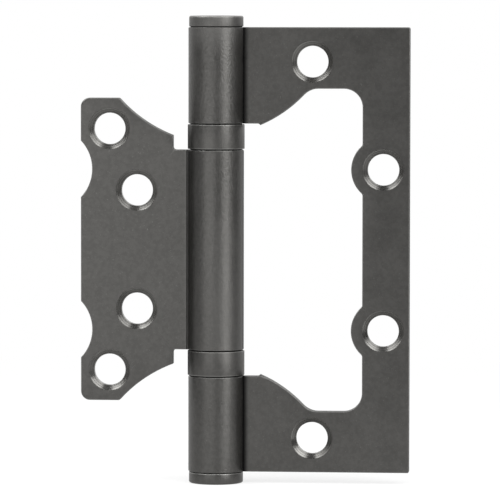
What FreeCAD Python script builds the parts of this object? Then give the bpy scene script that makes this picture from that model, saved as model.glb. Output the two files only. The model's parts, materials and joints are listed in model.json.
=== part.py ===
"""Flush hinge: a small leaf that nests in the window of a large one, on a barrel with two ball thrust bearings.

Millimetres, +Z up along the pin, with the origin on the pin's axis at mid-height. The hinge is modelled flat
open, as it is sold: the large leaf, which goes on the door frame, runs along +X and the small one, which goes
on the door's edge, along -X. Both lie in the plane of the pin, so they share one plane again when the small
leaf is swung shut into the window. The screw heads of both leaves face -Y here.

A leaf is drawn with its reach along +X, and a place on it is (reach from the pin's axis, height above middle).
Its lower half mirrors the upper one.
"""

import FreeCAD
import Part
import math
import os

from FreeCAD import Vector

# Sheet and rolled knuckles
sheet_thickness = 2.5
knuckle_bore = 7.5
bend_radius = 1.0
curl_tail = 1.2
curl_gap = 0.25
edge_break = 0.2

# Door leaf, the small one
door_leaf_reach = 30.5
door_leaf_height = 68.2
door_end_width = 8.7
door_corner_radius = 2.0
door_shoulder_radius = 0.6
neck_reach = 9.65
neck_rise = 3.25
neck_corner_radius = 0.65
flank_radius = 31.3

# Frame leaf, the large one, with the window that the door leaf swings into
spine_width = 10.6
arm_width = 13.75
frame_knuckle_length = 21.6
frame_corner_radius = 0.4
window_end_gap = 2.15
window_side_gap = 2.5
window_flank_gap = 2.0
window_flank_fillet = 4.6
window_corner_radius = 4.2
trim_ramp = 0.4
lobe_radius = 7.2
lobe_root_radius = 0.8

# Screw holes: (distance from the leaf's free edge, distance from its end)
frame_end_hole = (21.9, 7.7)
frame_side_hole = (5.95, 31.9)
door_outer_hole = (6.45, 6.9)
door_inner_hole = (12.65, 20.75)
hole_diameter = 7.1
countersink_diameter = 9.4
countersink_angle = 90.0

# Pin and end caps
pin_clearance = 0.05
pin_chamfer = 0.6
cap_diameter = 12.2
cap_height = 2.6
cap_rim_radius = 0.45
cap_rim_facets = 2
cap_seat_chamfer = 0.2
spigot_length = 3.0
spigot_clearance = 0.02
spigot_pin_gap = 0.2

# Ball thrust bearings, one above and one below the door leaf's knuckle
bearing_height = 5.9
sleeve_diameter = 12.8
sleeve_wall = 0.5
sleeve_end_gap = 0.2
race_side_clearance = 0.06
race_pin_clearance = 0.15
ball_diameter = 2.0
ball_count = 14
ball_clearance = 0.03
ball_rings = 4
ball_sides = 8

# Worked out from the sizes above
half_sheet = sheet_thickness / 2
bore_radius = knuckle_bore / 2
barrel_radius = bore_radius + sheet_thickness
pin_radius = bore_radius - pin_clearance
bend_middle_radius = bend_radius + half_sheet
bend_reach = math.sqrt((bore_radius + half_sheet + bend_middle_radius) ** 2 - bend_middle_radius**2)
behind_barrel = -2 * barrel_radius
door_leaf_end = door_leaf_height / 2
window_reach = door_leaf_reach + window_side_gap
window_end = door_leaf_end + window_end_gap
frame_leaf_reach = window_reach + spine_width
frame_leaf_end = window_end + arm_width
frame_knuckle_start = frame_leaf_end - frame_knuckle_length
door_knuckle_end = frame_knuckle_start - bearing_height
cap_seat = frame_leaf_end


def polar(radius, angle):
    """The point at that radius and angle about the pin's axis, on the XY plane."""
    return Vector(radius * math.cos(angle), radius * math.sin(angle), 0)


def place(reach, height):
    """A place on a leaf's middle plane."""
    return Vector(reach, 0, height)


def line(start, end):
    """A straight edge."""
    return Part.LineSegment(start, end).toShape()


def arc(start, end, centre):
    """The short way round from start to end about the centre."""
    bisector = (start - centre).normalize() + (end - centre).normalize()
    middle = centre + bisector.normalize() * start.distanceToPoint(centre)
    return Part.Arc(start, middle, end).toShape()


def curl(radius, start, end):
    """The long way round the pin's axis at that radius, from one angle to another."""
    return Part.Arc(polar(radius, start), polar(radius, (start + end) / 2), polar(radius, end)).toShape()


def sheet_section(reach):
    """The folded sheet as seen along the pin: the knuckle turns behind the leaf and comes back over its front."""
    bend_centre = Vector(bend_reach, bend_middle_radius, 0)
    bend_angle = math.atan2(bend_middle_radius, bend_reach)

    # The curl closes until the corner of its straight tail is one gap away from the bend.
    corner_radius = math.hypot(barrel_radius, curl_tail)
    corner_distance = bend_radius + sheet_thickness + curl_gap
    opening_cosine = (bend_centre.Length**2 + corner_radius**2 - corner_distance**2) / (
        2 * bend_centre.Length * corner_radius
    )
    tail_angle = bend_angle - math.acos(opening_cosine) - math.atan2(curl_tail, barrel_radius) + 2 * math.pi
    tail = polar(curl_tail, tail_angle + math.pi / 2)

    front_edge = Vector(reach, -half_sheet, 0)
    back_edge = Vector(reach, half_sheet, 0)
    front_bend = Vector(bend_reach, -half_sheet, 0)
    back_bend = Vector(bend_reach, half_sheet, 0)
    inner_tail = polar(bore_radius, tail_angle)
    outer_tail = polar(barrel_radius, tail_angle)
    edges = [
        line(front_edge, front_bend),
        arc(front_bend, polar(bore_radius, bend_angle), bend_centre),
        curl(bore_radius, bend_angle, tail_angle),
        line(inner_tail, inner_tail + tail),
        line(inner_tail + tail, outer_tail + tail),
        line(outer_tail + tail, outer_tail),
        curl(barrel_radius, tail_angle, bend_angle),
        arc(polar(barrel_radius, bend_angle), back_bend, bend_centre),
        line(back_bend, back_edge),
        line(back_edge, front_edge),
    ]
    return Part.Face(Part.Wire(edges))


def rolled_sheet(reach, end):
    """The folded sheet at its full height, before its outline is cut."""
    return sheet_section(reach).extrude(Vector(0, 0, 2 * end)).translated(Vector(0, 0, -end))


def below(point):
    """The same place on the lower half."""
    return place(point.x, -point.z)


def outline_cutter(upper_edges, joining_edges, corners):
    """A block through the sheet with the leaf's outline, with each (place, radius) corner rounded on both halves."""
    lower_edges = [edge.mirror(Vector(), Vector(0, 0, 1)) for edge in upper_edges]
    outline = Part.Wire(Part.__sortEdges__(upper_edges + lower_edges + joining_edges))
    depth = Vector(0, 4 * barrel_radius, 0)
    block = Part.Face(outline).extrude(depth).translated(depth * -0.5)
    for corner, radius in corners:
        for spot in (corner, below(corner)):
            upright = [edge for edge in block.Edges if all(on_line_through(v.Point, spot) for v in edge.Vertexes)]
            block = block.makeFillet(radius, upright)
    return block


def on_line_through(point, spot):
    """Whether a point lies straight in front of a place or behind it."""
    return place(point.x, point.z).isEqual(spot, 1e-4)


def with_broken_edges(leaf):
    """The leaf with the edges of its outline chamfered on both faces, and on round the ends of its knuckles."""
    outline = []
    for face in leaf.Faces:
        broad = abs(face.normalAt(0, 0).y) > 0.999 and face.Area > leaf.Area / 8
        if broad:
            outline += [edge for edge in face.Edges if not on_bend_line(edge)]
    return leaf.makeChamfer(edge_break, outline)


def on_bend_line(edge):
    """Whether an edge is where the flat leaf runs smoothly into its bend."""
    return all(abs(vertex.X - bend_reach) < 1e-4 for vertex in edge.Vertexes)


def hole_spot(reach, end, hole):
    """The place of a screw hole that is given by its distances from the free edge and from the end."""
    from_free_edge, from_end = hole
    return place(reach - from_free_edge, end - from_end)


def screw_hole(spot, front):
    """A cutter for a countersunk hole, whose head is on the face towards that front."""
    half_angle = math.radians(countersink_angle / 2)
    head_depth = (countersink_diameter - hole_diameter) / 2 / math.tan(half_angle)
    head_mouth = countersink_diameter / 2 + sheet_thickness * math.tan(half_angle)
    shank = Part.makeCylinder(hole_diameter / 2, 3 * sheet_thickness, spot - front * 1.5 * sheet_thickness, front)
    head = Part.makeCone(
        hole_diameter / 2,
        head_mouth,
        head_depth + sheet_thickness,
        spot + front * (half_sheet - head_depth),
        front,
    )
    return shank.fuse(head)


def with_screw_holes(leaf, spots, front):
    """The leaf with a screw hole at each spot and at the same spot on its lower half."""
    for spot in spots:
        leaf = leaf.cut([screw_hole(spot, front), screw_hole(below(spot), front)])
    return leaf


def neck_top():
    """Where the door leaf's neck meets its curved flank."""
    return place(neck_reach, door_knuckle_end + neck_rise)


def flank_centre():
    """The centre of the flank's arc, which runs from the neck out to the door leaf's end."""
    start = neck_top()
    finish = place(door_leaf_reach - door_end_width, door_leaf_end)
    half_chord = (finish - start) * 0.5
    rise = math.sqrt(flank_radius**2 - half_chord.Length**2)
    return start + half_chord + Vector(-half_chord.z, 0, half_chord.x).normalize() * rise


def side_hole_spot():
    """The frame leaf's side hole, which a lobe of the window and a scallop of the door leaf go round."""
    return hole_spot(frame_leaf_reach, frame_leaf_end, frame_side_hole)


def bite(centre, radius, reach):
    """Where a circle crosses an upright edge at that reach: (upper point, lower point)."""
    half = math.sqrt(radius**2 - (reach - centre.x) ** 2)
    return place(reach, centre.z + half), place(reach, centre.z - half)


def door_leaf():
    """The small leaf: one knuckle, a neck that clears the bearings, and scallops that pass the window's lobes."""
    end_reach = door_leaf_reach - door_end_width
    scallop_centre = side_hole_spot() - place(window_side_gap - window_flank_gap, 0)
    scallop_top, scallop_bottom = bite(scallop_centre, lobe_radius + window_flank_gap, door_leaf_reach)
    knuckle_side = place(behind_barrel, door_knuckle_end)
    neck_foot = place(neck_reach, door_knuckle_end)
    shoulder = place(end_reach, door_leaf_end)
    corner = place(door_leaf_reach, door_leaf_end)
    upper_edges = [
        line(knuckle_side, neck_foot),
        line(neck_foot, neck_top()),
        arc(neck_top(), shoulder, flank_centre()),
        line(shoulder, corner),
        line(corner, scallop_top),
        arc(scallop_top, scallop_bottom, scallop_centre),
    ]
    joining_edges = [line(scallop_bottom, below(scallop_bottom)), line(below(knuckle_side), knuckle_side)]
    corners = [
        (neck_foot, neck_corner_radius),
        (shoulder, door_shoulder_radius),
        (corner, door_corner_radius),
    ]
    cutter = outline_cutter(upper_edges, joining_edges, corners)
    leaf = with_broken_edges(rolled_sheet(door_leaf_reach, door_leaf_end).common(cutter))
    spots = [hole_spot(door_leaf_reach, door_leaf_end, hole) for hole in (door_outer_hole, door_inner_hole)]
    return with_screw_holes(leaf, spots, Vector(0, 1, 0)).rotated(Vector(), Vector(0, 0, 1), 180)


def frame_leaf():
    """The large leaf: a knuckle at each end, two arms and a spine round the window, and a lobe at each side hole."""
    window_flank_radius = flank_radius - window_flank_gap
    centre = flank_centre()
    ramp_reach = neck_reach + trim_ramp
    ramp_height = centre.z - math.sqrt(window_flank_radius**2 - (ramp_reach - centre.x) ** 2)
    flank_end_reach = centre.x + math.sqrt(window_flank_radius**2 - (centre.z - window_end) ** 2)
    lobe_top, lobe_bottom = bite(side_hole_spot(), lobe_radius, window_reach)
    knuckle_top = place(behind_barrel, frame_leaf_end)
    knuckle_foot = place(behind_barrel, frame_knuckle_start)
    trim_end = place(neck_reach, frame_knuckle_start)
    ramp_end = place(ramp_reach, ramp_height)
    flank_end = place(flank_end_reach, window_end)
    window_corner = place(window_reach, window_end)
    corner = place(frame_leaf_reach, frame_leaf_end)
    upper_edges = [
        line(knuckle_top, knuckle_foot),
        line(knuckle_foot, trim_end),
        line(trim_end, ramp_end),
        arc(ramp_end, flank_end, centre),
        line(flank_end, window_corner),
        line(window_corner, lobe_top),
        arc(lobe_top, lobe_bottom, side_hole_spot()),
        line(knuckle_top, corner),
    ]
    joining_edges = [line(lobe_bottom, below(lobe_bottom)), line(corner, below(corner))]
    corners = [
        (corner, frame_corner_radius),
        (flank_end, window_flank_fillet),
        (window_corner, window_corner_radius),
        (lobe_top, lobe_root_radius),
        (lobe_bottom, lobe_root_radius),
    ]
    cutter = outline_cutter(upper_edges, joining_edges, corners)
    leaf = with_broken_edges(rolled_sheet(frame_leaf_reach, frame_leaf_end).common(cutter))
    spots = [hole_spot(frame_leaf_reach, frame_leaf_end, frame_end_hole), side_hole_spot()]
    return with_screw_holes(leaf, spots, Vector(0, -1, 0))


def turned(points):
    """A piece turned about the pin's axis from the closed half section through (radius, height) points."""
    corners = [place(radius, height) for radius, height in points]
    return Part.Face(Part.makePolygon(corners + corners[:1])).revolve(Vector(), Vector(0, 0, 1), 360)


def hinge_pin():
    """The plain pin through all the knuckles, between the spigots of the two caps."""
    half = cap_seat - spigot_length - spigot_pin_gap
    end_radius = pin_radius - pin_chamfer
    upper = [(pin_radius, half - pin_chamfer), (end_radius, half), (0, half)]
    lower = [(radius, -height) for radius, height in reversed(upper)]
    return turned(lower + upper)


def end_cap():
    """The button that closes the top of the barrel: a head with a rounded rim, on a spigot pressed into the bore."""
    head_radius = cap_diameter / 2
    spigot_radius = bore_radius - spigot_clearance
    spigot_foot = cap_seat - spigot_length
    rim_radius = head_radius - cap_rim_radius
    rim_height = cap_seat + cap_height - cap_rim_radius
    points = [
        (0, spigot_foot),
        (spigot_radius - cap_seat_chamfer, spigot_foot),
        (spigot_radius, spigot_foot + cap_seat_chamfer),
        (spigot_radius, cap_seat),
        (head_radius - cap_seat_chamfer, cap_seat),
        (head_radius, cap_seat + cap_seat_chamfer),
    ]
    for facet in range(cap_rim_facets + 1):
        angle = math.pi / 2 * facet / cap_rim_facets
        points.append((rim_radius + cap_rim_radius * math.cos(angle), rim_height + cap_rim_radius * math.sin(angle)))
    return turned(points + [(0, cap_seat + cap_height)])


def sleeve():
    """The outer ring of the upper bearing, just clear of the knuckles on both sides."""
    outer = sleeve_diameter / 2
    inner = outer - sleeve_wall
    base = door_knuckle_end + sleeve_end_gap
    top = frame_knuckle_start - sleeve_end_gap
    return turned(
        [
            (inner, base),
            (outer - edge_break, base),
            (outer, base + edge_break),
            (outer, top - edge_break),
            (outer - edge_break, top),
            (inner, top),
        ]
    )


def flat_face(corners):
    """The flat face inside those corners."""
    return Part.Face(Part.makePolygon(corners + corners[:1]))


def ball(centre):
    """One bearing ball, with flats all over: the flats at its poles are what the races touch."""
    ring_step = math.pi / ball_rings
    corner_radius = ball_diameter / 2 / math.cos(ring_step / 2)
    turns = [2 * math.pi * side / ball_sides for side in range(ball_sides)]
    rings = []
    for ring in range(ball_rings):
        latitude = ring_step * (ring + 0.5) - math.pi / 2
        height = Vector(0, 0, corner_radius * math.sin(latitude))
        rings.append([centre + height + polar(corner_radius * math.cos(latitude), turn) for turn in turns])
    faces = [flat_face(rings[0]), flat_face(rings[-1])]
    for low, high in zip(rings, rings[1:]):
        for side in range(ball_sides):
            faces.append(flat_face([low[side - 1], low[side], high[side], high[side - 1]]))
    return Part.Solid(Part.Shell(faces))


def upper_bearing():
    """The thrust bearing above the door leaf's knuckle, as {piece: shape}."""
    race_outer = sleeve_diameter / 2 - sleeve_wall - race_side_clearance
    race_inner = pin_radius + race_pin_clearance
    middle = door_knuckle_end + bearing_height / 2
    race_face = middle - ball_diameter / 2 - ball_clearance
    door_race = turned(
        [
            (race_inner, door_knuckle_end),
            (race_outer, door_knuckle_end),
            (race_outer, race_face),
            (race_inner, race_face),
        ]
    )
    pieces = {
        "sleeve": sleeve(),
        "door_race": door_race,
        "frame_race": door_race.mirror(Vector(0, 0, middle), Vector(0, 0, 1)),
    }
    first_ball = ball(Vector((race_outer + race_inner) / 2, 0, middle))
    for number in range(ball_count):
        turn = 360 * (number + 0.5) / ball_count
        pieces[f"ball_{number + 1:02d}"] = first_ball.rotated(Vector(), Vector(0, 0, 1), turn)
    return pieces


def hinge():
    """Every piece of the hinge by its node's name."""
    cap = end_cap()
    pieces = {
        "frame_leaf": frame_leaf(),
        "door_leaf": door_leaf(),
        "hinge_pin": hinge_pin(),
        "top_cap": cap,
        "bottom_cap": cap.mirror(Vector(), Vector(0, 0, 1)),
    }
    for name, piece in upper_bearing().items():
        pieces[f"upper_bearing_{name}"] = piece
        pieces[f"lower_bearing_{name}"] = piece.mirror(Vector(), Vector(0, 0, 1))
    return pieces


os.makedirs("parts", exist_ok=True)
for name, piece in hinge().items():
    piece.exportStep(f"parts/{name}.step")
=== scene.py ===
"""The looks of a flush hinge in dark graphite plating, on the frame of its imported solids.

Metres, in the solids' own frame: the pin stands along +Z through the origin, the large leaf lies along +X,
and the countersinks of both leaves open to -Y, where the camera stands.
"""

import json
import math

import bmesh
import bpy
from mathutils import Matrix, Vector


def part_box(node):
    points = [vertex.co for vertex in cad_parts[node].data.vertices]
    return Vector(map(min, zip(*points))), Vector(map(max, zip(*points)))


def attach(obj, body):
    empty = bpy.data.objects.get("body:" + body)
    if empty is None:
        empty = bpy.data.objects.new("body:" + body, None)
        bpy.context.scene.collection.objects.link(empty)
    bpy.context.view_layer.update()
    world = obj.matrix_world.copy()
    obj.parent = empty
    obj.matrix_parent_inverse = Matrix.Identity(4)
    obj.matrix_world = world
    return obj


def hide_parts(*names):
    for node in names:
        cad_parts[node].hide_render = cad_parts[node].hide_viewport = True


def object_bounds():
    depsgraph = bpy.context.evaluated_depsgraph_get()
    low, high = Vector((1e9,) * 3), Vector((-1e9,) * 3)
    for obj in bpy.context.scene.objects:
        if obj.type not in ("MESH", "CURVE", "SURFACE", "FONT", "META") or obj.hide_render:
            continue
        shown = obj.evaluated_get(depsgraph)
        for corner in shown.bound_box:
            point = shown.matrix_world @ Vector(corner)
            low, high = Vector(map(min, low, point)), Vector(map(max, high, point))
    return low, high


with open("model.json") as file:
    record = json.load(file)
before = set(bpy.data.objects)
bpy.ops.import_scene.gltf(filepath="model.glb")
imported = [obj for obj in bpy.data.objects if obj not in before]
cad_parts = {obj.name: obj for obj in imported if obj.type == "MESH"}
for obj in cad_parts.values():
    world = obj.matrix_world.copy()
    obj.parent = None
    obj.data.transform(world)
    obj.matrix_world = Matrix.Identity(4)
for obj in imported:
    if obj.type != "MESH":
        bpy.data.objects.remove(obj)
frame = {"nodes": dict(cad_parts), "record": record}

MM = 0.001

solid_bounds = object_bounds()

# Camera, worked out from the photograph, with its angles in radians
CAMERA_DISTANCE = 0.925
CAMERA_ELEVATION = 0.0543
CAMERA_AZIMUTH = 0.0831
CAMERA_ROLL = 0.0012
CAMERA_LENS_MM = 296.1
CAMERA_CLIP_END = 50.0
SENSOR_WIDTH_MM = 36.0
CAMERA_AIM = Vector((7.647, 0.0, -0.056)) * MM

# Places read from the frame
sleeve_low, sleeve_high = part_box("upper_bearing_sleeve")
cap_low, cap_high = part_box("top_cap")
HOLE_SPOTS = [
    (mount["pos_m"][0], side * mount["dims"]["spacing_y_mm"] / 2 * MM)
    for mount in frame["record"]["mounts"]
    if mount["kind"] == "bolt_pattern"
    for side in (1, -1)
]

# Sizes of the solids
BARREL_RADIUS = 6.25 * MM
HALF_SHEET = 1.25 * MM
EDGE_BREAK = 0.2 * MM
HOLE_RIM_RADIUS = 4.7 * MM
KNUCKLE_EDGES = [22.5 * MM, 28.4 * MM]
SPIGOT_LENGTH = 3.0 * MM
SPIGOT_RADIUS = 3.73 * MM
SLEEVE_WALL = 0.5 * MM
CAP_SEAT = cap_low.z + SPIGOT_LENGTH

# Trim that the looks give to the caps and to the rings round the bearings
SPIGOT_ROUNDING = 0.2 * MM
CAP_RELIEF = 0.13 * MM
CAP_UNDERCUT = 0.3 * MM
CAP_LOWER_ROUNDING = 0.12 * MM
CAP_RIM_RADIUS = 0.4 * MM
CAP_CROWN = 0.05 * MM
CROWN_SHOULDER_REACH = 0.75
CROWN_SHOULDER_DROP = 0.2
CROWN_ROUNDING = 1.0 * MM
SLEEVE_OUTER_ROUNDING = 0.12 * MM
SLEEVE_INNER_ROUNDING = 0.08 * MM
CAP_UNDERSIDE = CAP_SEAT + CAP_RELIEF

# How the meshes are made and shaded
ROUNDING_STEPS = 4
TURNING_STEPS = 96
MERGE_DISTANCE = 0.001 * MM
HOLE_MARGIN = 0.1 * MM
SMOOTH_LIMIT = math.radians(50)
SMOOTH_LIMIT_AT_HOLES = math.radians(30)
LARGE_FACE_WEIGHT = 100

# Colours
PLATING_DARK = (0.1, 0.098, 0.0937, 1.0)
PLATING_LIGHT = (0.124, 0.1215, 0.1163, 1.0)
PLATING_GLINT = (0.17, 0.168, 0.16, 1.0)
# Pale colour for painted light on the barrel, toward its top end and low on the middle knuckle's front
PAINTED_LIGHT_PALE = (0.185, 0.182, 0.175, 1.0)
# Pale colours for painted highlights on the edges round the barrel, on the leaves' outlines and on the caps'
# upper rims
EDGE_HIGHLIGHT_PALE = (0.21, 0.208, 0.2, 1.0)
RIM_HIGHLIGHT_PALE = (0.30, 0.297, 0.287, 1.0)
TURNED_BRIGHT = (0.27, 0.266, 0.255, 1.0)
TURNED_DULL = (0.17, 0.167, 0.16, 1.0)
# Near black for painted shade in the crevices where the leaves meet the barrel
CREVICE_PAINTED_SHADE = (0.01, 0.01, 0.01, 1.0)
# Near black for painted shade in the grooves under the caps' heads and on the rings beside the small leaf
PAINTED_SHADE_DARK = (0.012, 0.0118, 0.0115, 1.0)
# Black mixed in as painted shade on the flat of the large leaf
SHADE_BLACK = (0.0, 0.0, 0.0, 1.0)
PIN_STEEL = (0.42, 0.42, 0.41, 1.0)
# The race is near black, which paints shade in the gaps beside the rings
RACE_STEEL_DARKENED_AS_SHADE = (0.012, 0.0115, 0.011, 1.0)
BALL_STEEL = (0.6, 0.6, 0.59, 1.0)
STUDIO_WHITE = (1.0, 1.0, 1.0, 1.0)
FLOOR_WHITE = (0.93, 0.93, 0.93, 1.0)

# Grain of the plating: scales per metre, shares in the tone, and the noise values between which each shows
GRAIN_SIZE_MM = 0.9
MOTTLE_SCALE = 140.0
CLOUD_SCALE = 38.0
GLINT_SCALE = 3600.0
PEEL_SCALE = 1700.0
NOISE_MIDDLE = 0.5
GRAIN_SHARE = 0.6
MOTTLE_SHARE = 0.25
CLOUD_SHARE = 0.15
GRAIN_FADE = (0.32, 0.68)
MOTTLE_FADE = (0.35, 0.65)
GLINT_FADE = (0.68, 0.80)

# Roughness of the plating, and what is added to it or taken from it
LEAF_ROUGHNESS = 0.40
TURNED_ROUGHNESS = 0.36
MOTTLE_ROUGHENING = 0.18
GLINT_SMOOTHING = 0.1
COUNTERSINK_SMOOTHING = 0.12
BARREL_SMOOTHING = 0.05
# Roughness added where painted light and painted shade lie
PAINTED_LIGHT_ROUGHENING = 0.11
PAINTED_SHADE_ROUGHENING = 0.5

# How strongly the painted light and painted highlights show, and the heights that feed the bumps
PAINTED_LIGHT_SHOWN = 0.5
OUTLINE_HIGHLIGHT_SHOWN = 0.8
MOTTLE_HEIGHT = 0.6
LEAF_GRAIN_HEIGHT = 0.3
TURNED_GRAIN_HEIGHT = 0.6
TURNING_MARK_HEIGHT = 0.12
PLATING_BUMP = 0.3
LEAF_BUMP_DEPTH = 0.03 * MM
TURNED_BUMP_DEPTH = 0.02 * MM

# Masks on the leaves: each fades from its first place to its second
BARREL_FADE = (BARREL_RADIUS + 0.1 * MM, BARREL_RADIUS + 1.2 * MM)
HOLE_RIM_FADE = (HOLE_RIM_RADIUS - 0.04 * MM, HOLE_RIM_RADIUS + 0.02 * MM)
BEHIND_FRONT = (-HALF_SHEET + 0.01 * MM, -HALF_SHEET + 0.07 * MM)
BEFORE_BACK = (HALF_SHEET - 0.1 * MM, HALF_SHEET - 0.01 * MM)
TURNING_PITCH = 0.42 * MM
TURNING_LINE_FADE = (0.4, 1.0)
# Where painted shade darkens the crevices beside the barrel
LARGE_CREVICE_START = (0.0, 1.0 * MM)
LARGE_CREVICE_END = (BARREL_RADIUS + 0.1 * MM, BARREL_RADIUS + 1.4 * MM)
SMALL_CREVICE_START = (-BARREL_RADIUS - 0.55 * MM, -BARREL_RADIUS - 0.2 * MM)
SMALL_CREVICE_END = (-BARREL_RADIUS + 0.25 * MM, -BARREL_RADIUS + 0.75 * MM)
CREVICE_FRONT = (-HALF_SHEET - 0.2 * MM, -HALF_SHEET - 0.05 * MM)
CREVICE_BACK = (-0.3 * MM, -0.2 * MM)
# Where the leaves' broken outline takes painted highlights
OUTLINE_START = (HALF_SHEET - EDGE_BREAK - 0.04 * MM, HALF_SHEET - EDGE_BREAK + 0.02 * MM)
OUTLINE_END = (HALF_SHEET - 0.015 * MM, HALF_SHEET - 0.003 * MM)
CLEAR_OF_BARREL = (BARREL_RADIUS + 0.75 * MM, BARREL_RADIUS + 1.35 * MM)
# Painted shade on the large leaf's flat: darker toward its top and its free edge
FLAT_SHADE_RISE = (-45.0 * MM, 5.0 * MM)
FLAT_SHADE_REACH = (10.0 * MM, 40.0 * MM)
FLAT_SHADE_NEAR_BARREL = 0.6

# Masks round the barrel, which fade in the same way, and their strengths
# Painted highlights on edges round the barrel fade out over these multiples of each edge's width; the bottom
# cap's upper edge has its own width
ROUND_EDGE_FADE = (0.8, 1.15)
BOTTOM_CAP_EDGE = 0.2 * MM
# Painted light on the barrel: paler toward its top end, and low on the middle knuckle's front right
PAINTED_LIGHT_TOP = (43.0 * MM, 51.0 * MM)
PAINTED_LIGHT_LOW_START = (-28.2 * MM, -22.2 * MM)
PAINTED_LIGHT_LOW_END = (-15.0 * MM, 15.0 * MM)
PAINTED_LIGHT_LOW_SIDE = (-1.5 * MM, 1.0 * MM)
PAINTED_LIGHT_LOW_FRONT = (-2.0 * MM, 0.0)
PAINTED_LIGHT_LOW_SHOWN = 0.6
PEEL_RISE = (-40.0 * MM, 0.0)
PEEL_STRENGTHS = (4.8, 8.0)
# Painted shade in the groove under each cap's head, and on the rings' side beside the small leaf
RELIEF_FADE = (CAP_UNDERSIDE - 0.02 * MM, CAP_UNDERSIDE + 0.01 * MM)
ON_CAP = (cap_low.z - 0.1 * MM, cap_low.z)
PAINTED_SHADE_SIDE = (-6.2 * MM, -5.2 * MM)
PAINTED_SHADE_FALL = (25.0 * MM, 30.0 * MM)
PAINTED_SHADE_STRENGTHS = (0.75, 0.25)
PAINTED_SHADE_END = (30.0 * MM, 31.0 * MM)

# Streaks of the turned and ground pieces: scales per metre, and how they change the steel
TURNED_SCALE_ACROSS = 60.0
STEEL_SCALE_ALONG = 40.0
SCRATCH_FADE = (0.3, 0.7)
SCRATCH_PALER = 1.25
SCRATCH_ROUGHENING = 0.06
SCRATCH_BUMP = 0.15
SCRATCH_BUMP_DEPTH = 0.01 * MM

# Soft boxes: name, azimuth and elevation in degrees, distance, width, height, brightness
SOFT_BOXES = [
    ("left box", -23, 0, 0.28, 0.22, 0.16, 1.12),
    ("left edge box", -48, 0, 0.28, 0.10, 0.42, 0.22),
    ("left rear box", -102, 0, 0.32, 0.10, 0.40, 0.3),
    ("right strip", 45, -5, 0.75, 0.39, 1.00, 2.38),
    ("front top box", 10, 42, 0.80, 0.80, 0.45, 2.7),
    ("right top box", 67, 46, 0.70, 0.34, 0.62, 2.8),
    ("left top box", -69, 47, 0.70, 0.30, 0.62, 4.2),
    ("low right box", 53, -10, 0.17, 0.08, 0.03, 1.5),
    ("cap box", 54, 27, 0.17, 0.08, 0.04, 1.6),
]

# World and floor, in metres and in shares of full white
SURROUND_FADE = (0.1, 0.6)
SURROUND_STRENGTHS = (0.08, 1.0)
DIFFUSE_FILL = 0.7
FLOOR_RADIUS = 6.0
FLOOR_SIDES = 96
FLOOR_CLEARANCE = 0.02 * MM
FLOOR_ROUGHNESS = 0.9
FLOOR_SHINE = 0.2
FLOOR_GLOW_REACH = (0.06, 0.35)
FLOOR_GLOW_SHARES = (0.72, 1.0)
FLOOR_REFLECTED = 0.6


def new_group(name, outputs, inputs=()):
    """An empty shader node group that works from a place: (group, its input node, its output node).

    The outputs are (socket type, name), and the inputs beside the place are (socket type, name, default).
    """
    group = bpy.data.node_groups.new(name, "ShaderNodeTree")
    for kind, label, default in [("NodeSocketVector", "Place", (0.0, 0.0, 0.0)), *inputs]:
        socket = group.interface.new_socket(name=label, in_out="INPUT", socket_type=kind)
        socket.default_value = default
    for kind, label in outputs:
        group.interface.new_socket(name=label, in_out="OUTPUT", socket_type=kind)
    return group, group.nodes.new("NodeGroupInput"), group.nodes.new("NodeGroupOutput")


def feed(tree, value, socket):
    """Links an output to an input, or sets the input to a plain value."""
    if isinstance(value, bpy.types.NodeSocket):
        tree.links.new(value, socket)
    else:
        socket.default_value = value


def math_node(tree, operation, first, second=None, clamp=False):
    """A Math node's output, from outputs or plain numbers."""
    node = tree.nodes.new("ShaderNodeMath")
    node.operation = operation
    node.use_clamp = clamp
    feed(tree, first, node.inputs[0])
    if second is not None:
        feed(tree, second, node.inputs[1])
    return node.outputs[0]


def product(tree, first, *others):
    """All the values multiplied together."""
    for value in others:
        first = math_node(tree, "MULTIPLY", first, value)
    return first


def smallest(tree, first, *others):
    """The smallest of the values."""
    for value in others:
        first = math_node(tree, "MINIMUM", first, value)
    return first


def remap(tree, value, ends, to_ends=(0.0, 1.0)):
    """The value taken smoothly from one range to another, and held at its ends."""
    node = tree.nodes.new("ShaderNodeMapRange")
    node.interpolation_type = "SMOOTHSTEP"
    tree.links.new(value, node.inputs["Value"])
    for label, number in zip(("From Min", "From Max", "To Min", "To Max"), (*ends, *to_ends)):
        node.inputs[label].default_value = number
    return node.outputs["Result"]


def fade_out(tree, value, ends):
    """1 up to the first end, and 0 from the second."""
    return remap(tree, value, ends, (1.0, 0.0))


def noise(tree, place, scale, detail, roughness):
    """A noise texture's value."""
    node = tree.nodes.new("ShaderNodeTexNoise")
    tree.links.new(place, node.inputs["Vector"])
    feed(tree, scale, node.inputs["Scale"])
    feed(tree, detail, node.inputs["Detail"])
    feed(tree, roughness, node.inputs["Roughness"])
    return node.outputs["Fac"]


def mix_color(tree, factor, first, second):
    """A mix of two colours, each an output or a plain colour."""
    node = tree.nodes.new("ShaderNodeMix")
    node.data_type = "RGBA"
    feed(tree, factor, node.inputs["Factor"])
    feed(tree, first, node.inputs["A"])
    feed(tree, second, node.inputs["B"])
    return node.outputs["Result"]


def split(tree, place):
    """The coordinates of a place, by the names X, Y and Z."""
    node = tree.nodes.new("ShaderNodeSeparateXYZ")
    tree.links.new(place, node.inputs["Vector"])
    return node.outputs


def join(tree, **coordinates):
    """A place with the coordinates given, and 0 for the rest."""
    node = tree.nodes.new("ShaderNodeCombineXYZ")
    for axis, value in coordinates.items():
        tree.links.new(value, node.inputs[axis])
    return node.outputs["Vector"]


def distance(tree, place, point=(0.0, 0.0, 0.0)):
    """How far a place is from a fixed point."""
    node = tree.nodes.new("ShaderNodeVectorMath")
    node.operation = "DISTANCE"
    tree.links.new(place, node.inputs[0])
    node.inputs[1].default_value = point
    return node.outputs["Value"]


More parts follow.
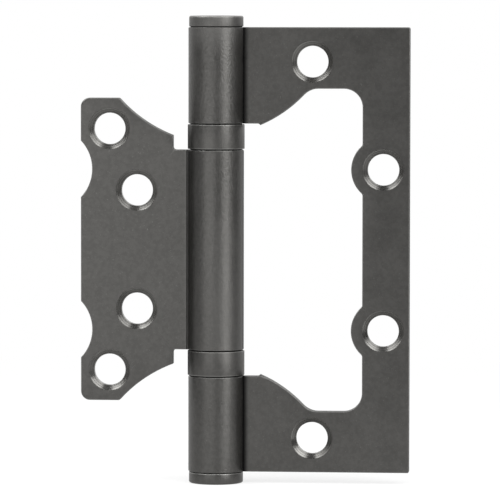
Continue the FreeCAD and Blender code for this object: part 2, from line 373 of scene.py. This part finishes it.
def plating_group():
    """Satin graphite plating: a fine speckle with pale glints, a soft mottle and the steel's tiny pits."""
    group, start, end = new_group(
        "graphite plating",
        [("NodeSocketColor", "Color"), ("NodeSocketFloat", "Roughness"), ("NodeSocketFloat", "Height")],
        [
            ("NodeSocketColor", "Dark", PLATING_DARK),
            ("NodeSocketColor", "Light", PLATING_LIGHT),
            ("NodeSocketColor", "Glint", PLATING_GLINT),
            ("NodeSocketFloat", "Grain Size", GRAIN_SIZE_MM),
            ("NodeSocketFloat", "Roughness", LEAF_ROUGHNESS),
        ],
    )
    place = start.outputs["Place"]
    grain_scale = math_node(group, "DIVIDE", 1 / MM, start.outputs["Grain Size"])
    grain = noise(group, place, grain_scale, detail=2.0, roughness=0.65)
    mottle = noise(group, place, MOTTLE_SCALE, detail=3.0, roughness=0.6)
    cloud = noise(group, place, CLOUD_SCALE, detail=2.0, roughness=0.5)
    glint = remap(group, noise(group, place, GLINT_SCALE, detail=1.0, roughness=0.5), GLINT_FADE)

    grain_tone = product(group, remap(group, grain, GRAIN_FADE), GRAIN_SHARE)
    mottle_tone = product(group, remap(group, mottle, MOTTLE_FADE), MOTTLE_SHARE)
    cloud_tone = product(group, remap(group, cloud, MOTTLE_FADE), CLOUD_SHARE)
    tone = math_node(group, "ADD", math_node(group, "ADD", grain_tone, mottle_tone), cloud_tone, clamp=True)
    color = mix_color(group, tone, start.outputs["Dark"], start.outputs["Light"])
    color = mix_color(group, glint, color, start.outputs["Glint"])
    group.links.new(color, end.inputs["Color"])

    uneven = product(group, math_node(group, "SUBTRACT", mottle, NOISE_MIDDLE), MOTTLE_ROUGHENING)
    rough = math_node(group, "ADD", start.outputs["Roughness"], uneven)
    rough = math_node(group, "SUBTRACT", rough, product(group, glint, GLINT_SMOOTHING), clamp=True)
    group.links.new(rough, end.inputs["Roughness"])

    height = math_node(group, "ADD", grain, product(group, mottle, MOTTLE_HEIGHT))
    group.links.new(height, end.inputs["Height"])
    return group


def leaf_mask_group():
    """Masks of a rolled leaf: its barrel, turned countersinks, crevices for painted shade and broken outline
    for painted highlights.
    """
    labels = ("Barrel", "Countersink", "Turning Marks", "Turning Lines", "Painted Crevice Shade", "Outline")
    group, start, end = new_group("leaf masks", [("NodeSocketFloat", label) for label in labels])
    at = split(group, start.outputs["Place"])
    x, y, z = at["X"], at["Y"], at["Z"]
    from_pin = distance(group, join(group, X=x, Y=y))
    group.links.new(fade_out(group, from_pin, BARREL_FADE), end.inputs["Barrel"])

    on_face = join(group, X=x, Z=z)
    from_holes = [distance(group, on_face, (hole_x, 0.0, hole_z)) for hole_x, hole_z in HOLE_SPOTS]
    from_hole = smallest(group, *from_holes)
    inside_rim = fade_out(group, from_hole, HOLE_RIM_FADE)
    within_sheet = product(group, remap(group, y, BEHIND_FRONT), fade_out(group, y, BEFORE_BACK))
    countersink = product(group, inside_rim, within_sheet)
    waves = math_node(group, "SINE", product(group, from_hole, 2 * math.pi / TURNING_PITCH))
    group.links.new(countersink, end.inputs["Countersink"])
    group.links.new(product(group, waves, countersink), end.inputs["Turning Marks"])
    group.links.new(remap(group, waves, TURNING_LINE_FADE), end.inputs["Turning Lines"])

    large = product(group, remap(group, x, LARGE_CREVICE_START), fade_out(group, x, LARGE_CREVICE_END))
    small = product(group, remap(group, x, SMALL_CREVICE_START), fade_out(group, x, SMALL_CREVICE_END))
    beside_barrel = math_node(group, "MAXIMUM", large, small)
    in_depth = product(group, remap(group, y, CREVICE_FRONT), fade_out(group, y, CREVICE_BACK))
    group.links.new(product(group, beside_barrel, in_depth), end.inputs["Painted Crevice Shade"])

    depth = math_node(group, "ABSOLUTE", y)
    broken = product(group, remap(group, depth, OUTLINE_START), fade_out(group, depth, OUTLINE_END))
    on_flat = remap(group, math_node(group, "ABSOLUTE", x), CLEAR_OF_BARREL)
    outside_rim = math_node(group, "SUBTRACT", 1.0, inside_rim)
    group.links.new(product(group, broken, on_flat, outside_rim), end.inputs["Outline"])
    return group


def round_edge_group(name, edges, both_ends):
    """A mask of painted highlights on edges round the barrel, from each one's height and width, mirrored for
    both_ends.
    """
    group, start, end = new_group(name, [("NodeSocketFloat", "Edge")])
    height = split(group, start.outputs["Place"])["Z"]
    if both_ends:
        height = math_node(group, "ABSOLUTE", height)
    widths_away = []
    for level, width in edges:
        away = math_node(group, "ABSOLUTE", math_node(group, "SUBTRACT", height, level))
        widths_away.append(math_node(group, "DIVIDE", away, width))
    nearest = smallest(group, *widths_away)
    group.links.new(fade_out(group, nearest, ROUND_EDGE_FADE), end.inputs["Edge"])
    return group


def barrel_peel_and_light_group():
    """Orange peel round the barrel, and painted light: paler at its top end and low on the middle knuckle's
    front.
    """
    group, start, end = new_group("barrel peel and painted light", [("NodeSocketFloat", "Painted Light"), ("NodeSocketFloat", "Peel")])
    at = split(group, start.outputs["Place"])
    height = at["Z"]
    low = product(group, fade_out(group, height, PAINTED_LIGHT_LOW_END), PAINTED_LIGHT_LOW_SHOWN)
    low = product(group, low, remap(group, height, PAINTED_LIGHT_LOW_START))
    low = product(group, low, remap(group, at["X"], PAINTED_LIGHT_LOW_SIDE))
    low = product(group, low, fade_out(group, at["Y"], PAINTED_LIGHT_LOW_FRONT))
    painted_light = math_node(group, "MAXIMUM", remap(group, height, PAINTED_LIGHT_TOP), low)
    group.links.new(painted_light, end.inputs["Painted Light"])

    peel = noise(group, start.outputs["Place"], PEEL_SCALE, detail=3.0, roughness=0.6)
    peel = product(group, peel, remap(group, height, PEEL_RISE, PEEL_STRENGTHS))
    group.links.new(peel, end.inputs["Peel"])
    return group


def painted_shade_group():
    """Painted shade in the groove under the caps' heads, and on the bearings' rings beside the small leaf."""
    group, start, end = new_group("painted_shade", [("NodeSocketFloat", "Painted Shade")])
    at = split(group, start.outputs["Place"])
    height = math_node(group, "ABSOLUTE", at["Z"])
    under_head = product(group, fade_out(group, height, RELIEF_FADE), remap(group, height, ON_CAP))
    by_leaf = product(group, fade_out(group, at["X"], PAINTED_SHADE_SIDE), fade_out(group, height, PAINTED_SHADE_END))
    by_leaf = product(group, by_leaf, remap(group, height, PAINTED_SHADE_FALL, PAINTED_SHADE_STRENGTHS))
    group.links.new(math_node(group, "MAXIMUM", under_head, by_leaf), end.inputs["Painted Shade"])
    return group


def streak_group():
    """The fine streaks that turning or grinding leaves, from a noise stretched along the axes."""
    group, start, end = new_group(
        "tool streaks",
        [("NodeSocketFloat", "Streaks")],
        [
            ("NodeSocketVector", "Stretch", (1.0, 1.0, 1.0)),
            ("NodeSocketFloat", "Detail", 2.0),
            ("NodeSocketFloat", "Roughness", 0.6),
        ],
    )
    mapping = group.nodes.new("ShaderNodeMapping")
    group.links.new(start.outputs["Place"], mapping.inputs["Vector"])
    group.links.new(start.outputs["Stretch"], mapping.inputs["Scale"])
    stretched = mapping.outputs["Vector"]
    streaks = noise(group, stretched, 1.0, start.outputs["Detail"], start.outputs["Roughness"])
    group.links.new(streaks, end.inputs["Streaks"])
    return group


def new_material(name):
    """A material with a Principled shader and its object coordinates: (material, tree, shader, place)."""
    material = bpy.data.materials.new(name)
    material.use_nodes = True
    tree = material.node_tree
    shader = tree.nodes["Principled BSDF"]
    place = tree.nodes.new("ShaderNodeTexCoord").outputs["Object"]
    return material, tree, shader, place


def add_group(tree, group, place, **values):
    """A group placed in a material, with its own values set by name. It gives the group's outputs."""
    node = tree.nodes.new("ShaderNodeGroup")
    node.node_tree = group
    tree.links.new(place, node.inputs["Place"])
    for label, value in values.items():
        node.inputs[label].default_value = value
    return node.outputs


def bump(tree, shader, height, strength, depth):
    """A bump in the shader's normal."""
    node = tree.nodes.new("ShaderNodeBump")
    node.inputs["Strength"].default_value = strength
    node.inputs["Distance"].default_value = depth
    tree.links.new(height, node.inputs["Height"])
    tree.links.new(node.outputs["Normal"], shader.inputs["Normal"])


def leaf_plating(name, groups, edges, flat_shade):
    """Plating on rolled sheet: uneven on the knuckles, turned bright in the countersinks, painted highlights
    on edges.

    Painted light lies on the barrel and painted shade in the crevices. Painted shade also darkens the flat
    leaf toward its top and away from the barrel, by flat_shade at most.
    """
    material, tree, shader, place = new_material(name)
    finish = add_group(tree, groups["plating"], place, Roughness=LEAF_ROUGHNESS)
    where = add_group(tree, groups["leaf masks"], place)
    peel_and_light = add_group(tree, groups["barrel peel and painted light"], place)
    edge = add_group(tree, edges, place)["Edge"]
    barrel = where["Barrel"]
    countersink = where["Countersink"]
    painted_light = product(tree, peel_and_light["Painted Light"], barrel)

    at = split(tree, place)
    shade = remap(tree, at["Z"], FLAT_SHADE_RISE, (0.0, flat_shade))
    shade = product(tree, shade, remap(tree, at["X"], FLAT_SHADE_REACH, (FLAT_SHADE_NEAR_BARREL, 1.0)))
    shade = product(tree, shade, math_node(tree, "SUBTRACT", 1.0, barrel))
    turned = mix_color(tree, where["Turning Lines"], TURNED_BRIGHT, TURNED_DULL)
    outline_highlight = product(tree, where["Outline"], OUTLINE_HIGHLIGHT_SHOWN)
    edge_highlight = math_node(tree, "MAXIMUM", product(tree, edge, barrel), outline_highlight)
    color = mix_color(tree, shade, finish["Color"], SHADE_BLACK)
    # Painted light on the barrel's top end and lower front
    color = mix_color(tree, product(tree, painted_light, PAINTED_LIGHT_SHOWN), color, PAINTED_LIGHT_PALE)
    color = mix_color(tree, countersink, color, turned)
    # Painted highlights on edges, then painted shade in the crevices
    color = mix_color(tree, edge_highlight, color, EDGE_HIGHLIGHT_PALE)
    color = mix_color(tree, where["Painted Crevice Shade"], color, CREVICE_PAINTED_SHADE)
    tree.links.new(color, shader.inputs["Base Color"])

    smoother = product(tree, countersink, COUNTERSINK_SMOOTHING)
    rough = math_node(tree, "SUBTRACT", finish["Roughness"], smoother)
    rough = math_node(tree, "SUBTRACT", rough, product(tree, barrel, BARREL_SMOOTHING), clamp=True)
    rough = math_node(tree, "ADD", rough, product(tree, painted_light, PAINTED_LIGHT_ROUGHENING), clamp=True)
    tree.links.new(rough, shader.inputs["Roughness"])

    grain = product(tree, finish["Height"], LEAF_GRAIN_HEIGHT)
    height = math_node(tree, "ADD", grain, product(tree, peel_and_light["Peel"], barrel))
    height = product(tree, height, math_node(tree, "SUBTRACT", 1.0, countersink))
    height = math_node(tree, "ADD", height, product(tree, where["Turning Marks"], TURNING_MARK_HEIGHT))
    bump(tree, shader, height, PLATING_BUMP, LEAF_BUMP_DEPTH)
    shader.inputs["Metallic"].default_value = 1.0
    return material


def turned_plating(name, groups, edges, highlight_color, ring_scale):
    """Plating on a turned piece: the same grain over faint rings round the pin, with painted highlights on
    edges, painted light on the barrel and painted shade in grooves and beside the small leaf.
    """
    material, tree, shader, place = new_material(name)
    finish = add_group(tree, groups["plating"], place, Roughness=TURNED_ROUGHNESS)
    peel_and_light = add_group(tree, groups["barrel peel and painted light"], place)
    painted_shade = add_group(tree, groups["painted_shade"], place)["Painted Shade"]
    edge = add_group(tree, edges, place)["Edge"]
    stretch = (TURNED_SCALE_ACROSS, TURNED_SCALE_ACROSS, ring_scale)
    rings = add_group(tree, groups["tool streaks"], place, Stretch=stretch)["Streaks"]

    # Painted light toward the barrel's top end and on its lower front
    color = mix_color(tree, product(tree, peel_and_light["Painted Light"], PAINTED_LIGHT_SHOWN), finish["Color"], PAINTED_LIGHT_PALE)
    # Painted highlights on edges, then painted shade in grooves and beside the small leaf
    color = mix_color(tree, edge, color, highlight_color)
    color = mix_color(tree, painted_shade, color, PAINTED_SHADE_DARK)
    tree.links.new(color, shader.inputs["Base Color"])

    rough = math_node(tree, "ADD", finish["Roughness"], product(tree, painted_shade, PAINTED_SHADE_ROUGHENING), clamp=True)
    rough = math_node(tree, "ADD", rough, product(tree, peel_and_light["Painted Light"], PAINTED_LIGHT_ROUGHENING), clamp=True)
    tree.links.new(rough, shader.inputs["Roughness"])

    grain = product(tree, finish["Height"], TURNED_GRAIN_HEIGHT)
    height = math_node(tree, "ADD", grain, math_node(tree, "ADD", rings, peel_and_light["Peel"]))
    bump(tree, shader, height, PLATING_BUMP, TURNED_BUMP_DEPTH)
    shader.inputs["Metallic"].default_value = 1.0
    return material


def bare_steel(name, groups, base, roughness, grain_scale):
    """Ground or hardened steel of the pieces inside the barrel."""
    material, tree, shader, place = new_material(name)
    stretch = (grain_scale, grain_scale, STEEL_SCALE_ALONG)
    streaks = add_group(tree, groups["tool streaks"], place, Stretch=stretch, Detail=3.0, Roughness=0.7)
    scratches = streaks["Streaks"]
    pale = tuple(min(1.0, channel * SCRATCH_PALER) for channel in base[:3]) + (1.0,)
    tree.links.new(mix_color(tree, scratches, base, pale), shader.inputs["Base Color"])
    rough_ends = (roughness - SCRATCH_ROUGHENING, roughness + SCRATCH_ROUGHENING)
    tree.links.new(remap(tree, scratches, SCRATCH_FADE, rough_ends), shader.inputs["Roughness"])
    bump(tree, shader, scratches, SCRATCH_BUMP, SCRATCH_BUMP_DEPTH)
    shader.inputs["Metallic"].default_value = 1.0
    return material


def on_hole_rim(edge):
    """Whether an edge lies on the sharp rim or floor of a countersink."""
    return any(
        math.hypot(vertex.co.x - x, vertex.co.z - z) < HOLE_RIM_RADIUS + HOLE_MARGIN
        for vertex in edge.verts
        for x, z in HOLE_SPOTS
    )


def finished_piece(name, bm, material, body):
    """A mesh made a piece of the hinge: it rides on its body and stands for the solid of its name."""
    bmesh.ops.remove_doubles(bm, verts=bm.verts, dist=MERGE_DISTANCE)
    bmesh.ops.recalc_face_normals(bm, faces=bm.faces)
    for face in bm.faces:
        face.smooth = True
    for edge in bm.edges:
        limit = SMOOTH_LIMIT_AT_HOLES if on_hole_rim(edge) else SMOOTH_LIMIT
        edge.smooth = edge.calc_face_angle(0.0) < limit
    mesh = bpy.data.meshes.new(name)
    bm.to_mesh(mesh)
    bm.free()
    mesh.materials.append(material)
    piece = bpy.data.objects.new(name, mesh)
    bpy.context.scene.collection.objects.link(piece)
    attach(piece, body)
    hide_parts(name)
    return piece


def turned_mesh(section, side):
    """A closed section of (radius, height, rounding) corners turned once round the pin's axis.

    Side 1 leaves it at the upper end of the hinge, and side -1 turns it over to the lower end.
    """
    bm = bmesh.new()
    points = [bm.verts.new((radius, 0.0, height)) for radius, height, rounding in section]
    bm.faces.new(points)
    for point, (radius, height, rounding) in zip(points, section):
        if rounding:
            bmesh.ops.bevel(
                bm,
                geom=[point],
                offset=rounding,
                offset_type="OFFSET",
                segments=ROUNDING_STEPS,
                profile=0.5,
                affect="VERTICES",
                material=-1,
            )
    bmesh.ops.delete(bm, geom=bm.faces[:], context="FACES_ONLY")
    bmesh.ops.spin(
        bm,
        geom=bm.verts[:] + bm.edges[:],
        cent=(0, 0, 0),
        axis=(0, 0, 1),
        angle=2 * math.pi,
        steps=TURNING_STEPS,
        use_merge=True,
    )
    bmesh.ops.scale(bm, verts=bm.verts, vec=(1.0, 1.0, side))
    return bm


def end_cap(name, side, material):
    """A turned button on its spigot, with a rounded rim, a faint crown and a groove under its head."""
    top = cap_high.z
    head = cap_high.x
    neck = head - CAP_UNDERCUT
    section = [
        (0.0, cap_low.z, 0.0),
        (SPIGOT_RADIUS, cap_low.z, SPIGOT_ROUNDING),
        (SPIGOT_RADIUS, CAP_SEAT, 0.0),
        (neck, CAP_SEAT, 0.0),
        (neck, CAP_UNDERSIDE, 0.0),
        (head, CAP_UNDERSIDE, CAP_LOWER_ROUNDING),
        (head, top - CAP_CROWN, CAP_RIM_RADIUS),
        (head * CROWN_SHOULDER_REACH, top - CROWN_SHOULDER_DROP * CAP_CROWN, CROWN_ROUNDING),
        (0.0, top, 0.0),
    ]
    finished_piece(name, turned_mesh(section, side), material, "frame_side")


def bearing_sleeve(name, side, material):
    """The ring round a bearing, with rounded edges."""
    outer = sleeve_high.x
    inner = outer - SLEEVE_WALL
    section = [
        (inner, sleeve_low.z, SLEEVE_INNER_ROUNDING),
        (outer, sleeve_low.z, SLEEVE_OUTER_ROUNDING),
        (outer, sleeve_high.z, SLEEVE_OUTER_ROUNDING),
        (inner, sleeve_high.z, SLEEVE_INNER_ROUNDING),
    ]
    finished_piece(name, turned_mesh(section, side), material, "frame_side")


def soft_edged_leaf(node, material, body):
    """A leaf whose chamfered edges are shaded round, as a tumbled pressing's are, to catch the light."""
    bm = bmesh.new()
    bm.from_mesh(frame["nodes"][node].data)
    leaf = finished_piece(node, bm, material, body)
    rounding = leaf.modifiers.new("round the edges", "WEIGHTED_NORMAL")
    rounding.mode = "FACE_AREA"
    rounding.weight = LARGE_FACE_WEIGHT
    rounding.keep_sharp = True


def dress(node, material):
    """Gives a solid's object its material in every slot."""
    mesh = frame["nodes"][node].data
    mesh.materials.clear()
    mesh.materials.append(material)


def dress_hinge():
    """Every piece of the hinge in its own finish."""
    groups = {
        "plating": plating_group(),
        "leaf masks": leaf_mask_group(),
        "barrel peel and painted light": barrel_peel_and_light_group(),
        "painted_shade": painted_shade_group(),
        "tool streaks": streak_group(),
    }
    knuckle_ends = [(z, EDGE_BREAK) for z in KNUCKLE_EDGES]
    ring_ends = [(z, EDGE_BREAK) for z in (sleeve_low.z, sleeve_high.z)]
    cap_tops = [(cap_high.z, CAP_RIM_RADIUS), (-CAP_UNDERSIDE, BOTTOM_CAP_EDGE)]
    # Painted highlights on the knuckles' and rings' ends, on the top cap's rim and on the bottom cap's upper
    # edge
    knuckle_edges = round_edge_group("painted highlights on knuckle edges", knuckle_ends, both_ends=True)
    ring_edges = round_edge_group("painted highlights on ring edges", ring_ends, both_ends=True)
    cap_edges = round_edge_group("painted highlights on the caps' upper edges", cap_tops, both_ends=False)
    finishes = {
        # The large leaf's flat carries painted shade; the small leaf's carries none
        "frame_leaf_plating": leaf_plating("frame leaf plating", groups, knuckle_edges, flat_shade=0.17),
        "door_leaf_plating": leaf_plating("door leaf plating", groups, knuckle_edges, flat_shade=0.0),
        "cap_plating": turned_plating("cap plating", groups, cap_edges, RIM_HIGHLIGHT_PALE, ring_scale=2500.0),
        "sleeve_plating": turned_plating("sleeve plating", groups, ring_edges, EDGE_HIGHLIGHT_PALE, ring_scale=1800.0),
        "pin_steel": bare_steel("pin steel", groups, PIN_STEEL, roughness=0.3, grain_scale=900.0),
        # The race is darkened to near black as painted shade for the gaps beside the rings
        "race_steel": bare_steel("race steel darkened as painted shade", groups, RACE_STEEL_DARKENED_AS_SHADE, roughness=0.5, grain_scale=700.0),
        "ball_steel": bare_steel("ball steel", groups, BALL_STEEL, roughness=0.14, grain_scale=400.0),
    }
    for subpart in frame["record"]["subparts"]:
        dress(subpart["node"], finishes[subpart["material_slot"]])
    soft_edged_leaf("frame_leaf", finishes["frame_leaf_plating"], "frame_side")
    soft_edged_leaf("door_leaf", finishes["door_leaf_plating"], "door_side")
    for name, side in (("top_cap", 1), ("bottom_cap", -1)):
        end_cap(name, side, finishes["cap_plating"])
    for name, side in (("upper_bearing_sleeve", 1), ("lower_bearing_sleeve", -1)):
        bearing_sleeve(name, side, finishes["sleeve_plating"])


def direction_to(azimuth, elevation):
    """The way out from the hinge, in radians. Azimuth 0 is the camera's side and grows to its right."""
    level = math.cos(elevation)
    return Vector((math.sin(azimuth) * level, -math.cos(azimuth) * level, math.sin(elevation)))


def soft_box(name, azimuth, elevation, distance_out, width, height, brightness):
    """A soft box that faces the hinge and that the camera doesn't see."""
    place = direction_to(math.radians(azimuth), math.radians(elevation)) * distance_out
    data = bpy.data.lights.new(name, "AREA")
    data.shape = "RECTANGLE"
    data.size = width
    data.size_y = height
    data.energy = brightness * math.pi * width * height
    light = bpy.data.objects.new(name, data)
    light.location = place
    light.rotation_euler = (-place).to_track_quat("-Z", "Y").to_euler()
    light.visible_camera = False
    bpy.context.scene.collection.objects.link(light)


def build_world():
    """White where the camera looks past the hinge. The metal reflects white behind it, and dim elsewhere."""
    world = bpy.data.worlds.new("studio")
    bpy.context.scene.world = world
    world.use_nodes = True
    tree = world.node_tree
    tree.nodes.clear()
    path = tree.nodes.new("ShaderNodeLightPath").outputs
    direction = split(tree, tree.nodes.new("ShaderNodeTexCoord").outputs["Generated"])
    surround = remap(tree, direction["Y"], SURROUND_FADE, SURROUND_STRENGTHS)
    reflected = math_node(tree, "MAXIMUM", path["Is Glossy Ray"], path["Is Transmission Ray"])
    strength = math_node(tree, "ADD", product(tree, reflected, surround), path["Is Camera Ray"])
    strength = math_node(tree, "ADD", strength, product(tree, path["Is Diffuse Ray"], DIFFUSE_FILL))
    studio = tree.nodes.new("ShaderNodeBackground")
    tree.links.new(strength, studio.inputs["Strength"])
    studio.inputs["Color"].default_value = STUDIO_WHITE
    output = tree.nodes.new("ShaderNodeOutputWorld")
    tree.links.new(studio.outputs["Background"], output.inputs["Surface"])


def floor_white():
    """White that shades like paper near the hinge, and glows out to the background's white further off."""
    material, tree, shader, place = new_material("floor")
    shader.inputs["Base Color"].default_value = FLOOR_WHITE
    shader.inputs["Roughness"].default_value = FLOOR_ROUGHNESS
    shader.inputs["Specular IOR Level"].default_value = FLOOR_SHINE
    path = tree.nodes.new("ShaderNodeLightPath").outputs
    glow = tree.nodes.new("ShaderNodeEmission")
    reflected = product(tree, path["Is Glossy Ray"], FLOOR_REFLECTED)
    tree.links.new(math_node(tree, "ADD", reflected, path["Is Camera Ray"]), glow.inputs["Strength"])
    direct = math_node(tree, "MAXIMUM", path["Is Camera Ray"], path["Is Glossy Ray"])
    share = remap(tree, distance(tree, place), FLOOR_GLOW_REACH, FLOOR_GLOW_SHARES)
    mixed = tree.nodes.new("ShaderNodeMixShader")
    tree.links.new(product(tree, direct, share), mixed.inputs["Fac"])
    tree.links.new(shader.outputs["BSDF"], mixed.inputs[1])
    tree.links.new(glow.outputs["Emission"], mixed.inputs[2])
    tree.links.new(mixed.outputs["Shader"], tree.nodes["Material Output"].inputs["Surface"])
    return material


def build_floor():
    """A wide white floor just under the lower cap, which keeps a soft shadow."""
    bm = bmesh.new()
    bmesh.ops.create_circle(bm, cap_ends=True, segments=FLOOR_SIDES, radius=FLOOR_RADIUS)
    bmesh.ops.translate(bm, verts=bm.verts, vec=(0, 0, solid_bounds[0][2] - FLOOR_CLEARANCE))
    mesh = bpy.data.meshes.new("floor")
    bm.to_mesh(mesh)
    bm.free()
    mesh.materials.append(floor_white())
    floor = bpy.data.objects.new("floor", mesh)
    bpy.context.scene.collection.objects.link(floor)


def add_camera():
    """The camera of the photograph."""
    data = bpy.data.cameras.new("camera")
    data.sensor_width = SENSOR_WIDTH_MM
    data.lens = CAMERA_LENS_MM
    data.clip_end = CAMERA_CLIP_END
    camera = bpy.data.objects.new("camera", data)
    camera.location = CAMERA_AIM + direction_to(CAMERA_AZIMUTH, CAMERA_ELEVATION) * CAMERA_DISTANCE
    turn = Matrix.Rotation(CAMERA_AZIMUTH, 4, "Z")
    tilt = Matrix.Rotation(math.pi / 2 - CAMERA_ELEVATION, 4, "X")
    roll = Matrix.Rotation(CAMERA_ROLL, 4, "Z")
    camera.rotation_euler = (turn @ tilt @ roll).to_euler()
    bpy.context.scene.collection.objects.link(camera)
    bpy.context.scene.camera = camera


bpy.context.scene.view_settings.view_transform = "Standard"
dress_hinge()
for box in SOFT_BOXES:
    soft_box(*box)
build_world()
build_floor()
add_camera()
